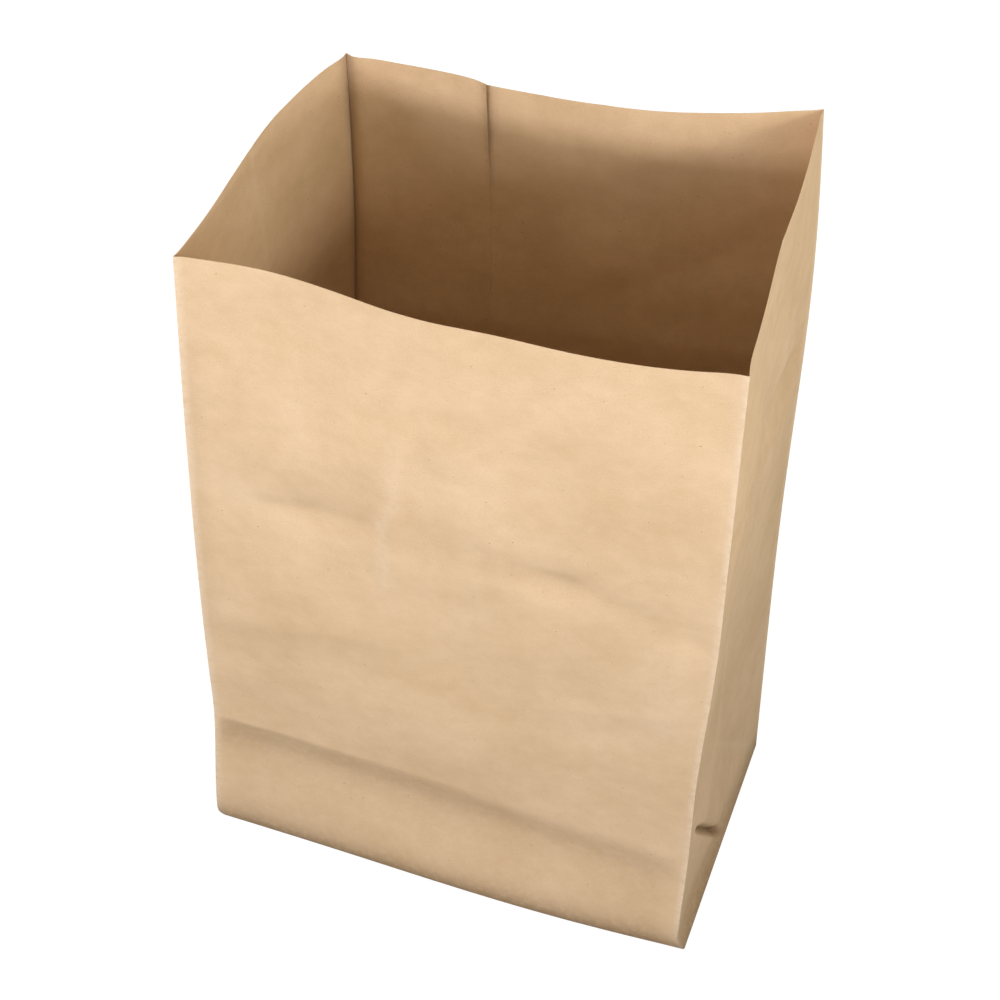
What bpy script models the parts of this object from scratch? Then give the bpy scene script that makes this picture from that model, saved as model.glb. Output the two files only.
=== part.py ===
"""Brown paper lunch bag, opened out and standing on its folded base.

The bag is one sheet of kraft paper: a tube with two side gussets and a
lap seam down the back, folded and glued into a flat base at the bottom.
"""
import math

import bmesh
import bpy
from mathutils import Vector

# Flat sizes of the bag, in metres
BAG_WIDTH = 0.130
GUSSET_DEPTH = 0.082
BAG_HEIGHT = 0.230
PAPER = 0.00012

# Base: how far short of the gusset it is spread, its flaps and its plies
BASE_TUCK = 0.0145
FLAP_LAP = 0.016
STRIP_LENGTH = 0.042
FLOOR_PLIES = 3
BASE_FOLD = 0.0007
PLY_EDGE = 0.0002

# The front bulges out just above the base fold: size, height, fade above it
TOE = 0.0009
TOE_REACH = 0.0036
TOE_FADE = 0.050

# Lap seam on the back panel, measured from the panel's left edge
SEAM_PLACE = 0.0398
SEAM_LAP = 0.012
SEAM_STAGGER = 0.0019

# Mouth corners against the base corners below them: sideways, back, up
MOUTH_FRONT_LEFT = (0.0004, -0.0079, 0.0022)
MOUTH_FRONT_RIGHT = (0.0012, 0.0030, -0.0013)
MOUTH_BACK_RIGHT = (-0.0043, 0.0174, 0.0014)
MOUTH_BACK_LEFT = (0.0133, 0.0022, -0.0025)

# Front panel: the wave of its rim and its belly
FRONT_RIM_WAVE = (0.0026, -0.0019, -0.0007, -0.0007)
RIM_WAVE_REACH = 0.150
FRONT_BELLY = 0.0022
LEFT_EDGE_BOW = 0.0014

# The front's base line bows out: its waves, and how far up they fade out
FRONT_FOOT = (0.0026, -0.0007)
FOOT_RISE = 0.036

# Crease across the front above the base: heights of its ends, how deep it is
# in the middle and at the ends, and how far up it pulls
CREASE_LEFT = 0.0446
CREASE_RIGHT = 0.0388
CREASE_DEPTH = 0.0030
CREASE_EDGE_DEPTH = 0.0016
CREASE_REACH = 0.075

# Below the crease the paper turns in: how far down, how deep, and its return
LIP_FALL = 0.0066
LIP_DEPTH = 0.0020
LIP_RECOVERY = 0.030
LIP_FADE = 0.007

# The front right edge stands in: size, full from, easing from, over
RIGHT_EDGE_PINCH = 0.0021
PINCH_FULL = 0.006
PINCH_EASE = 0.060
PINCH_REACH = 0.075

# Slanting fold across the right of the front panel: start, end, size
SLANT_START = (0.066, 0.150)
SLANT_END = (0.130, 0.126)
SLANT_WIDTH = 0.006
SLANT_DEPTH = 0.0008

# Soft fold round the other panels at two thirds of the height: start, end
RIGHT_BAND = ((-0.010, 0.158), (0.092, 0.141))
BACK_BAND = ((-0.010, 0.150), (0.140, 0.142))
LEFT_BAND = ((-0.010, 0.145), (0.092, 0.152))
BAND_WIDTH = 0.008
BAND_DEPTH = 0.0010
BAND_FADE = 0.008

# Back panel and gussets
BACK_RIM_WAVE = (-0.0072, -0.0008)
BACK_BELLY = 0.0020
BACK_LEFT_BOW = 0.0070
BACK_RIGHT_WAVE = (0.0009, -0.0009, 0.0003)
APEX_TUCK = 0.0040
RIGHT_RIM_TUCK = 0.0013
LEFT_RIM_WAVE = (0.0037, 0.0007, 0.0008)

# Pleat low on the right gusset: its height at the edge, groove and bulge
PLEAT_HEIGHT = 0.048
PLEAT_DEPTH = 0.0020
PLEAT_BULGE = 0.0018
PLEAT_REACH = 0.016

# Mesh density: pieces across a panel and up the wall above the crease
FRONT_PIECES = 18
GUSSET_PIECES = 14
WALL_PIECES = 24

KRAFT = (0.70, 0.50, 0.33, 1.0)
KRAFT_ROUGHNESS = 0.85

HALF_WIDTH = BAG_WIDTH / 2
HALF_GUSSET = GUSSET_DEPTH / 2
BASE_DEPTH = GUSSET_DEPTH - BASE_TUCK
FRONT_Y = -BASE_DEPTH / 2
BACK_Y = BASE_DEPTH / 2
FLOOR_TOP = FLOOR_PLIES * PAPER


def clamp(value, low=0.0, high=1.0):
    return max(low, min(high, value))


def ramp(distance):
    """0 outside a ply's cut edge, 1 on the ply."""
    return clamp(distance / PLY_EDGE)


def eased(value):
    """0 up to 0, 1 from 1, and smooth between."""
    value = clamp(value)
    return value * value * (3 - 2 * value)


def crease_height(across):
    return CREASE_LEFT + (CREASE_RIGHT - CREASE_LEFT) * across / BAG_WIDTH


def crease_pull(height, crease):
    """How strongly the crease pulls at a height: all at the crease itself."""
    if height < crease:
        return height / crease
    return (1 - clamp((height - crease) / CREASE_REACH)) ** 2


def crease_lip(across, height):
    """The paper turns in below the crease, most sharply at the left."""
    share = across / BAG_WIDTH
    below = crease_height(across) - height
    drop = LIP_FALL * (1 + 0.8 * share)
    depth = LIP_DEPTH * (1 - 0.20 * share)
    recovery = eased((below - drop) / LIP_RECOVERY)
    ends = eased(across / LIP_FADE) * eased((BAG_WIDTH - across) / LIP_FADE)
    return depth * clamp(below / drop) * (1 - recovery) * ends


def upper(height):
    """0 at the crease above the base, 1 at the rim."""
    return clamp((height - HALF_GUSSET) / (BAG_HEIGHT - HALF_GUSSET))


def rim_share(height):
    """1 at the rim, easing to 0 at the wave's reach below it."""
    return eased(1 - (BAG_HEIGHT - height) / RIM_WAVE_REACH)


def rim_wave(sizes, share):
    """Waves along an edge, with 0 at its two ends."""
    return sum(
        size * math.sin((order + 1) * math.pi * share)
        for order, size in enumerate(sizes)
    )


def soft_fold(place, start, end, width, depth):
    """Height of a soft ridge that runs from start to end on a panel."""
    along = Vector(end) - Vector(start)
    offset = Vector(place) - Vector(start)
    share = offset.dot(along) / along.length_squared
    across = offset.cross(along) / along.length
    ends = clamp(4 * share) * clamp(4 * (1 - share))
    return depth * ends * math.exp(-(across / width) ** 2)


def soft_band(place, line, length):
    """A soft fold that crosses a panel and fades at its two upright edges."""
    ends = eased(place[0] / BAND_FADE) * eased((length - place[0]) / BAND_FADE)
    return ends * soft_fold(place, line[0], line[1], BAND_WIDTH, BAND_DEPTH)


def toe(height):
    """How far the front bulges out just above the base fold."""
    rounding = 1 - clamp(1 - height / TOE_REACH) ** 2
    return TOE * rounding * (1 - eased((height - TOE_REACH) / TOE_FADE))


def corner(base, mouth, height):
    """Place of one upright edge of the bag at a height up the paper."""
    share = height / BAG_HEIGHT
    return Vector((
        base[0] + mouth[0] * share,
        base[1] + mouth[1] * share,
        height + mouth[2] * share,
    ))


def front_left(height):
    place = corner((-HALF_WIDTH, FRONT_Y), MOUTH_FRONT_LEFT, height)
    place.x -= LEFT_EDGE_BOW * math.sin(math.pi * height / BAG_HEIGHT) + toe(height)
    place.y += CREASE_EDGE_DEPTH * crease_pull(height, CREASE_LEFT) - toe(height)
    return place


def front_right(height):
    place = corner((HALF_WIDTH, FRONT_Y), MOUTH_FRONT_RIGHT, height)
    pinch = eased(height / PINCH_FULL) * (1 - eased((height - PINCH_EASE) / PINCH_REACH))
    place.x -= RIGHT_EDGE_PINCH * pinch
    place.y += CREASE_EDGE_DEPTH * crease_pull(height, CREASE_RIGHT) - toe(height)
    return place


def back_right(height):
    place = corner((HALF_WIDTH, BACK_Y), MOUTH_BACK_RIGHT, height)
    place.x += rim_wave(BACK_RIGHT_WAVE, height / BAG_HEIGHT)
    return place


def back_left(height):
    place = corner((-HALF_WIDTH, BACK_Y), MOUTH_BACK_LEFT, height)
    place.x += BACK_LEFT_BOW * math.sin(math.pi * height / BAG_HEIGHT)
    return place


def front_relief(across, height):
    """Outward bow of the front panel, its crease and its slanting fold."""
    share = across / BAG_WIDTH
    wave = rim_wave(FRONT_RIM_WAVE, share)
    bulge = math.sin(math.pi * share)
    belly = FRONT_BELLY * bulge * math.sin(math.pi * upper(height))
    belly += rim_wave(FRONT_FOOT, share) * (1 - eased(height / FOOT_RISE))
    pull = crease_pull(height, crease_height(across))
    dip = (CREASE_DEPTH - CREASE_EDGE_DEPTH) * bulge ** 0.5 * pull
    dip += crease_lip(across, height)
    slant = soft_fold(
        (across, height), SLANT_START, SLANT_END, SLANT_WIDTH, SLANT_DEPTH)
    return wave * rim_share(height) + belly - dip - slant


def back_relief(across, height):
    """The back panel bows in at its rim, most near its middle."""
    bulge = math.sin(math.pi * across / BAG_WIDTH)
    belly = BACK_BELLY * bulge * math.sin(math.pi * upper(height))
    bow = rim_wave(BACK_RIM_WAVE, across / BAG_WIDTH) * rim_share(height)
    return belly + bow - soft_band((across, height), BACK_BAND, BAG_WIDTH)


def gusset_fold(across, height):
    """1 at the gusset's middle crease, 0 at its edges and its base line.

    Below the apex the folds run up at 45 degrees from both base corners.
    """
    nearest_edge = min(across, GUSSET_DEPTH - across)
    return min(nearest_edge, height, HALF_GUSSET) / HALF_GUSSET


def pleat(across, height):
    """The corner below the pleat stands proud, with a groove along the pleat."""
    step = GUSSET_DEPTH / GUSSET_PIECES
    aside = across + height - round(PLEAT_HEIGHT / step) * step
    groove = PLEAT_DEPTH * clamp(1 - abs(aside) / step)
    bulge = PLEAT_BULGE * math.exp(-(aside / PLEAT_REACH) ** 2) * clamp(height / step / 2)
    return clamp(across / step / 2) * clamp(height / step) * (bulge - groove)


def right_relief(across, height):
    """Tucked in along its middle crease, with a pleat near the base."""
    tuck = APEX_TUCK + (RIGHT_RIM_TUCK - APEX_TUCK) * upper(height)
    band = soft_band((across, height), RIGHT_BAND, GUSSET_DEPTH)
    return pleat(across, height) - tuck * gusset_fold(across, height) - band


def left_relief(across, height):
    """Tucked in at the apex and bowed out at the rim."""
    share = upper(height)
    bow = rim_wave(LEFT_RIM_WAVE, across / GUSSET_DEPTH) * share
    band = soft_band((across, height), LEFT_BAND, GUSSET_DEPTH)
    return bow - APEX_TUCK * (1 - share) * gusset_fold(across, height) - band


def seam_rise(from_left):
    """Extra plies at the lap seam, on the outer and on the inner side."""
    into_lap = from_left - (SEAM_PLACE - SEAM_LAP)
    short_of_edge = SEAM_PLACE - from_left
    outer = ramp(into_lap) * clamp(1 + short_of_edge / SEAM_LAP)
    inner = ramp(short_of_edge) * clamp(1 + into_lap / SEAM_LAP)
    return PAPER * outer, PAPER * inner


PANELS = (
    ("front", front_left, front_right, BAG_WIDTH, front_relief),
    ("right", front_right, back_right, GUSSET_DEPTH, right_relief),
    ("back", back_right, back_left, BAG_WIDTH, back_relief),
    ("left", back_left, front_left, GUSSET_DEPTH, left_relief),
)


def paper_height(panel, across, level):
    """Height up the paper of a level line; the front's slope with its crease."""
    if panel[0] != "front":
        return level
    crease = crease_height(across)
    if level < HALF_GUSSET:
        return level * crease / HALF_GUSSET
    share = (level - HALF_GUSSET) / (BAG_HEIGHT - HALF_GUSSET)
    return crease + (BAG_HEIGHT - crease) * share


def wall_point(panel, across, level):
    """Middle of the paper at a place on one panel."""
    name, start_edge, end_edge, length, relief = panel
    height = paper_height(panel, across, level)
    start = start_edge(height)
    end = end_edge(height)
    along = end - start
    outward = Vector((along.y, -along.x, 0)).normalized()
    place = start.lerp(end, across / length)
    place += outward * relief(across, height)
    if name == "back":
        from_left = length - across
        lift = ramp(SEAM_PLACE + PLY_EDGE - from_left) * from_left / SEAM_PLACE
        place.z += SEAM_STAGGER * lift * rim_share(height) ** 8
    return place


def even_steps(length, pieces):
    return [length * step / pieces for step in range(pieces)]


def back_steps():
    """Even steps across the back, with the seam's two cut edges put in."""
    free_edge = BAG_WIDTH - SEAM_PLACE
    lap_edge = free_edge + SEAM_LAP
    edges = [free_edge - PLY_EDGE, free_edge, lap_edge - PLY_EDGE, lap_edge]
    clear = BAG_WIDTH / FRONT_PIECES / 4
    steps = [
        step for step in even_steps(BAG_WIDTH, FRONT_PIECES)
        if all(abs(step - edge) > clear for edge in edges)
    ]
    return sorted(steps + edges)


def panel_steps(panel):
    if panel[0] == "back":
        return back_steps()
    if panel[0] == "front":
        return even_steps(BAG_WIDTH, FRONT_PIECES)
    return even_steps(GUSSET_DEPTH, GUSSET_PIECES)


def columns():
    """Every upright line of the wall, in order round the bag."""
    return [
        (panel, across)
        for panel in PANELS
        for across in panel_steps(panel)
    ]


def rows():
    """Heights of the wall's level lines, with the crease on one of them."""
    low = even_steps(HALF_GUSSET, GUSSET_PIECES // 2)
    rise = BAG_HEIGHT - HALF_GUSSET
    high = [HALF_GUSSET + step for step in even_steps(rise, WALL_PIECES)]
    return [0.0, BASE_FOLD] + low[1:] + high + [BAG_HEIGHT]


def middle_grid(lines, heights):
    """Points of the paper's middle, row by row, with the base fold rounded."""
    grid = [
        [wall_point(panel, across, height) for panel, across in lines]
        for height in heights
    ]
    for point in grid[0]:
        point.x -= math.copysign(BASE_FOLD / 2, point.x)
        point.y -= math.copysign(BASE_FOLD / 2, point.y)
    return grid


def point_normal(grid, row, column):
    """Outward direction at a grid point, lengthened where faces turn."""
    below = grid[max(row - 1, 0)][column]
    above = grid[min(row + 1, len(grid) - 1)][column]
    before = grid[row][column - 1]
    after = grid[row][(column + 1) % len(grid[row])]
    here = grid[row][column]
    rise = above - below
    first = (here - before).cross(rise).normalized()
    second = (after - here).cross(rise).normalized()
    total = first + second
    return total * 2 / total.length_squared


def skins(lines, grid):
    """Outer and inner points of the wall, half a ply either side."""
    outer = []
    inner = []
    for row, points in enumerate(grid):
        outer_row = []
        inner_row = []
        for column, point in enumerate(points):
            panel, across = lines[column]
            rises = (0.0, 0.0)
            if panel[0] == "back":
                rises = seam_rise(BAG_WIDTH - across)
            normal = point_normal(grid, row, column)
            outer_row.append(point + normal * (PAPER / 2 + rises[0]))
            inner_row.append(point - normal * (PAPER / 2 + rises[1]))
        outer.append(outer_row)
        inner.append(inner_row)
    for point in outer[0]:
        point.z = 0.0
    for point in inner[0]:
        point.z = FLOOR_TOP
    return outer, inner


def make_ring(mesh, points):
    return [mesh.verts.new(point) for point in points]


def crossed_corner(lines, heights, row, column):
    """True where the fold in a cell runs from lower right to upper left."""
    panel, across = lines[column]
    steps = [step for owner, step in lines if owner[0] == panel[0]]
    wider = [step for step in steps if step > across]
    far = wider[0] if wider else panel[3]
    low = heights[row]
    high = heights[row + 1]

    def relief(place, level):
        return panel[4](place, paper_height(panel, place, level))

    centre = relief((across + far) / 2, (low + high) / 2)
    rising = (relief(across, low) + relief(far, high)) / 2
    falling = (relief(far, low) + relief(across, high)) / 2
    return abs(falling - centre) < abs(rising - centre)


def make_wall(mesh, rings, lines, heights, facing_out):
    """Two triangles a cell, split along the fold that crosses it."""
    count = len(lines)
    for row in range(len(rings) - 1):
        for column in range(count):
            after = (column + 1) % count
            low_left = rings[row][column]
            low_right = rings[row][after]
            high_left = rings[row + 1][column]
            high_right = rings[row + 1][after]
            if crossed_corner(lines, heights, row, column):
                faces = ((low_left, low_right, high_left),
                         (low_right, high_right, high_left))
            else:
                faces = ((low_left, low_right, high_right),
                         (low_left, high_right, high_left))
            for face in faces:
                mesh.faces.new(face if facing_out else face[::-1])


def make_rim(mesh, outer, inner):
    count = len(outer)
    for column in range(count):
        after = (column + 1) % count
        mesh.faces.new((outer[column], outer[after], inner[after], inner[column]))


def cut_floor(mesh, face, lines):
    """Cut one level face along straight lines, each a point and a normal."""
    faces = [face]
    for point, normal in lines:
        edges = list({edge for item in faces for edge in item.edges})
        verts = list({vert for item in faces for vert in item.verts})
        cut = bmesh.ops.bisect_plane(
            mesh, geom=faces + edges + verts, plane_co=point,
            plane_no=normal, dist=1e-7)
        faces = [item for item in cut["geom"] if isinstance(item, bmesh.types.BMFace)]
    return faces


def flap_lines(edge_y, inward):
    """The two slanted ends of a long flap that is folded in at edge_y."""
    lines = []
    for side in (-1, 1):
        for step in (0.0, PLY_EDGE):
            point = Vector((side * (HALF_WIDTH - step), edge_y, 0))
            lines.append((point, Vector((side, inward, 0)).normalized()))
    return lines


def flap_cover(place, edge_y, inward):
    """1 on a long flap between its slanted ends, 0 outside them."""
    return ramp(HALF_WIDTH - abs(place.x) - (place.y - edge_y) * inward)


def underside_height(place):
    """The rear flap lies lowest, then the front flap, then the end strips."""
    front = flap_cover(place, FRONT_Y, 1)
    rear = flap_cover(place, BACK_Y, -1) * ramp(place.y + FLAP_LAP / 2)
    return (2 - front) * PAPER * (1 - rear)


def make_underside(mesh, ring):
    face = mesh.faces.new(ring[::-1])
    lines = flap_lines(FRONT_Y, 1) + flap_lines(BACK_Y, -1)
    for step in (0.0, PLY_EDGE):
        lines.append((Vector((0, step - FLAP_LAP / 2, 0)), Vector((0, 1, 0))))
    faces = cut_floor(mesh, face, lines)
    for vert in {vert for item in faces for vert in item.verts}:
        vert.co.z = underside_height(vert.co)
    return faces


def make_floor(mesh, ring):
    """Inside floor: the end strips lie one ply above the flaps."""
    face = mesh.faces.new(ring)
    inner_end = HALF_WIDTH - STRIP_LENGTH
    lines = []
    for side in (-1, 1):
        for step in (0.0, PLY_EDGE):
            point = Vector((side * (inner_end + step), 0, 0))
            lines.append((point, Vector((side, 0, 0))))
    faces = cut_floor(mesh, face, lines)
    for vert in {vert for item in faces for vert in item.verts}:
        vert.co.z += PAPER * ramp(abs(vert.co.x) - inner_end)
    return faces


def centre_on_box(mesh):
    """Put the origin under the middle of the bag's box, on the ground."""
    spans = []
    for axis in range(3):
        values = [vert.co[axis] for vert in mesh.verts]
        spans.append((min(values), max(values)))
    shift = Vector((-sum(spans[0]) / 2, -sum(spans[1]) / 2, -spans[2][0]))
    bmesh.ops.translate(mesh, verts=mesh.verts, vec=shift)


def kraft_material():
    material = bpy.data.materials.new("kraft_paper")
    material.use_nodes = True
    shader = material.node_tree.nodes["Principled BSDF"]
    shader.inputs["Base Color"].default_value = KRAFT
    shader.inputs["Roughness"].default_value = KRAFT_ROUGHNESS
    shader.inputs["Metallic"].default_value = 0.0
    return material


def make_bag():
    lines = columns()
    heights = rows()
    outer, inner = skins(lines, middle_grid(lines, heights))
    mesh = bmesh.new()
    outer_rings = [make_ring(mesh, points) for points in outer]
    inner_rings = [make_ring(mesh, points) for points in inner]
    make_wall(mesh, outer_rings, lines, heights, True)
    make_wall(mesh, inner_rings, lines, heights, False)
    make_rim(mesh, outer_rings[-1], inner_rings[-1])
    level = make_underside(mesh, outer_rings[0])
    level += make_floor(mesh, inner_rings[0])
    bmesh.ops.triangulate(mesh, faces=mesh.faces)
    centre_on_box(mesh)
    data = bpy.data.meshes.new("paper_bag")
    mesh.to_mesh(data)
    mesh.free()
    data.materials.append(kraft_material())
    data.shade_smooth()
    data.set_sharp_from_angle(angle=math.radians(20))
    bag = bpy.data.objects.new("paper_bag", data)
    bpy.context.collection.objects.link(bag)
    return bag


def main():
    for item in list(bpy.data.objects):
        bpy.data.objects.remove(item, do_unlink=True)
    make_bag()


main()
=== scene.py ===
"""Brown paper lunch bag: its folded kraft sheet, the paper's finish, and the studio."""
import math

import bmesh
import bpy
import numpy as np
from bpy.props import FloatProperty, FloatVectorProperty, PointerProperty
from mathutils import Matrix, Vector


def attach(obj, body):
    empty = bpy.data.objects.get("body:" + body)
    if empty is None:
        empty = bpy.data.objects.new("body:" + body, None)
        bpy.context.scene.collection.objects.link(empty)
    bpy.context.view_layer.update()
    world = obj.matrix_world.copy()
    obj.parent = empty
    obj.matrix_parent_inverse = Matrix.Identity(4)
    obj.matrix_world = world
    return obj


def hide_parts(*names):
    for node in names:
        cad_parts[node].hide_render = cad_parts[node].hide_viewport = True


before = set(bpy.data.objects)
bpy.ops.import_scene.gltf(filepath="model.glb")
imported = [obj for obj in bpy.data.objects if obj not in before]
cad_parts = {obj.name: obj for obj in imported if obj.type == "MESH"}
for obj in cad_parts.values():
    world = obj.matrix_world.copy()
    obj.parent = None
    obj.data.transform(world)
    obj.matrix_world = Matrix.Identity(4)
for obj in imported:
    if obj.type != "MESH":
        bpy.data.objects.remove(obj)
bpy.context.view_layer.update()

bl_info = {
    "name": "Paper Lunch Bag",
    "version": (1, 0, 0),
    "blender": (4, 5, 0),
    "location": "3D View > Sidebar > Lunch Bag",
    "description": "Folds a kraft paper lunch bag and sets up its studio",
    "category": "Add Mesh",
}


def number(name, default, description, kind=FloatProperty, **limits):
    """A value that a user can change in the panel."""
    return kind(name=name, default=default, description=description, **limits)


def length(name, default, description):
    """A size in metres."""
    return number(name, default, description, unit="LENGTH", precision=5)


def lengths(name, default, description, subtype="NONE"):
    return number(name, default, description, FloatVectorProperty, size=len(default),
                  subtype=subtype, unit="LENGTH", precision=5)


def mouth_corner(name, default):
    return lengths(name, default, "Mouth corner against its base corner", "TRANSLATION")


def share(name, default, description):
    return number(name, default, description, min=0.0, max=1.0, subtype="FACTOR")


def colour(name, default, description):
    return number(name, default, description, FloatVectorProperty, size=3,
                  min=0.0, max=1.0, subtype="COLOR")


def angle(name, degrees, description):
    return number(name, math.radians(degrees), description, subtype="ANGLE")


class BagSheet(bpy.types.PropertyGroup):
    """Sizes of the cut sheet and its folds."""

    width: length("Width", 0.130, "Width of the front and the back panel")
    gusset: length("Gusset", 0.082, "Width of each side gusset")
    height: length("Height", 0.230, "Height from the base fold to the rim")
    paper: length("Paper", 0.00012, "Thickness of the paper")
    base_tuck: length("Base tuck", 0.0145, "How far the base is short of square")
    flap_lap: length("Flap lap", 0.016, "Overlap of the two long base flaps")
    seam_place: length("Seam place", 0.0398, "Free edge of the seam from the left")
    seam_lap: length("Seam lap", 0.012, "Overlap of the seam down the back")
    seam_stagger: length("Seam stagger", 0.0019, "Step in the rim at the seam")
    fold_radius: length("Fold radius", 0.0005, "How round a fold is")
    toe: length("Toe", 0.0013, "How far the front bulges out above the base fold")
    toe_reach: length("Toe reach", 0.0048, "Height of the bulge above the base fold")
    cell: length("Cell", 0.00172, "Spacing of the sheet's mesh")


class BagShape(bpy.types.PropertyGroup):
    """How the opened bag stands: its mouth, bellies, tucks and creases."""

    mouth_front_left: mouth_corner("Front left", (-0.0006, -0.0079, 0.0022))
    mouth_front_right: mouth_corner("Front right", (0.0012, 0.0030, -0.0013))
    mouth_back_right: mouth_corner("Back right", (-0.0043, 0.0174, 0.0014))
    mouth_back_left: mouth_corner("Back left", (0.0133, 0.0022, -0.0025))
    rim_wave: lengths("Rim wave", (0.0026, -0.0019, -0.0007, -0.0007),
                      "Sizes of the front rim's waves, the longest first")
    rim_reach: length("Rim reach", 0.150, "How far down the rim's waves reach")
    front_belly: length("Front belly", 0.0022, "How far the front panel bows out")
    back_belly: length("Back belly", 0.0020, "How far the back panel bows out")
    back_wave: lengths("Back wave", (-0.0072, -0.0008), "Sizes of the back rim's waves")
    left_edge_bow: length("Left edge bow", 0.0014, "Bow of the front left edge")
    back_left_bow: length("Back left bow", 0.0070, "Inward bow of the back left edge")
    back_right_wave: lengths("Back right wave", (0.0009, -0.0009, 0.0003),
                             "Sizes of the back right edge's outward waves")
    foot_corners: lengths("Foot corners", (0.0007, 0.0020),
                          "How far the front's two base corners stand out")
    front_foot: lengths("Front foot", (0.0015, -0.00045),
                        "Sizes of the front's outward waves between them")
    right_edge_pinch: length("Right pinch", 0.0021, "Inward pinch of the front right edge")
    crease_left: length("Crease left", 0.0460, "Height of the front crease at the left")
    crease_right: length("Crease right", 0.0376, "Height of the front crease at the right")
    crease_depth: length("Crease depth", 0.0014, "Front crease at its middle")
    crease_edge: length("Crease edge", 0.0008, "Front crease at its two ends")
    crease_reach: length("Crease reach", 0.075, "How far up the crease pulls")
    apex_tuck: length("Apex tuck", 0.0040, "How far the gussets tuck in at the apex")
    right_rim_tuck: length("Right rim tuck", 0.0013, "Tuck of the right gusset's rim")
    left_wave: lengths("Left wave", (0.0022, 0.0012, 0.0), "Sizes of the left rim's waves")


class KraftFinish(bpy.types.PropertyGroup):
    """Colours and surface of the kraft paper, and the colours of its painted shade and
    highlight.
    """

    paper: colour("Paper", (0.718, 0.508, 0.308), "Colour of the plain paper")
    dark_fibre: colour("Dark fibre", (0.47, 0.30, 0.17), "Colour of the dark fibres")
    pale_fibre: colour("Pale fibre", (0.80, 0.62, 0.43), "Colour of the pale fibres")
    # Paler along the folds: worn paper and, along the upright edges, painted highlight
    worn_and_highlight: colour("Worn fold and highlight", (0.82, 0.64, 0.46), "Colour of the paper along its folds")
    # Colour of the painted shade in the creases, along the base, in the inner corner and at
    # the seam
    painted_shade: colour("Painted shade colour", (0.30, 0.19, 0.10), "Colour deep in the creases")
    roughness: share("Roughness", 0.82, "Roughness of the paper")
    fibres: share("Fibres", 0.55, "Strength of the fibres")
    mottling: share("Mottling", 0.8, "Strength of the cloudy patches")
    # How pale the folds are: wear and painted highlight
    wear_and_painted_light: share("Wear and highlight", 0.9, "How pale the folds are")
    # How dark the painted shade is
    painted_shade_strength: share("Painted shade strength", 0.5, "How dark the creases are")


class BagStudio(bpy.types.PropertyGroup):
    """Floor, lamps and camera."""

    floor: colour("Floor", (0.25, 0.25, 0.25), "Colour of the floor")
    lamps: number("Lamps", 1.0, "Level of all the lamps", min=0.0)
    fill: number("Fill", 0.34, "Strength of the even light from all round", min=0.0)
    focal: number("Focal length", 145.44, "Focal length of the camera's lens", unit="CAMERA")
    azimuth: angle("Azimuth", 16.9, "Camera's turn to the right of the front")
    elevation: angle("Elevation", 51.5, "Camera's height above the horizon")
    roll: angle("Roll", 1.5, "Camera's turn about its own axis")
    distance: length("Distance", 1.1037, "From the camera to the bag's base")
    aim: lengths("Aim", (-0.00026, 0.07046), "Camera's move right and up in its own plane")
    target: lengths("Target", (0.0, 0.0072, 0.0),
                    "Point looked at, from the middle of the base", "TRANSLATION")


# Shape of the bag

def eased(value):
    """0 up to 0, 1 from 1, and smooth between."""
    value = np.clip(value, 0.0, 1.0)
    return value * value * (3 - 2 * value)


def rim_wave(sizes, along):
    """Waves along an edge, with 0 at its two ends."""
    return sum(
        size * np.sin((order + 1) * math.pi * along) for order, size in enumerate(sizes))


def base_depth(sheet):
    return sheet.gusset - sheet.base_tuck


def panel_share(across, size):
    """0 at a panel's left edge, 1 at its right edge."""
    return np.clip(across / size, 0, 1)


def crease_pull(shape, height, crease):
    """How strongly the front crease pulls: all at its own height."""
    above = np.clip((height - crease) / shape.crease_reach, 0, 1)
    return np.where(height < crease, np.clip(height, 0, None) / crease, (1 - above) ** 2)


def pinch_pull(height):
    """The front right edge stands in from just above the base to a third up."""
    return eased(height / PINCH_FULL) * (1 - eased((height - PINCH_EASE) / PINCH_REACH))


def upper_share(sheet, height):
    """0 at the crease, 1 at the rim."""
    middle = sheet.gusset / 2
    return np.clip((height - middle) / (sheet.height - middle), 0, 1)


def rim_share(sheet, shape, height):
    """1 at the rim, easing to 0 at the waves' reach below it."""
    return eased(1 - (sheet.height - height) / shape.rim_reach)


def edge_line(sheet, base, mouth, height):
    """Points of one upright edge at heights up the paper."""
    along = height / sheet.height
    starts = (*base, height)
    return np.stack([start + move * along for start, move in zip(starts, mouth)], axis=-1)


# The front's bow along the base fades out over this height, and over this
# length of the flap below it
FOOT_RISE = 0.036
FOOT_FLAP = 0.020

# The front right edge's pinch: full from this height, easing from the next
PINCH_FULL = 0.006
PINCH_EASE = 0.060
PINCH_REACH = 0.075

# How far above the toe its bulge fades out
TOE_FADE = 0.050


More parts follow.
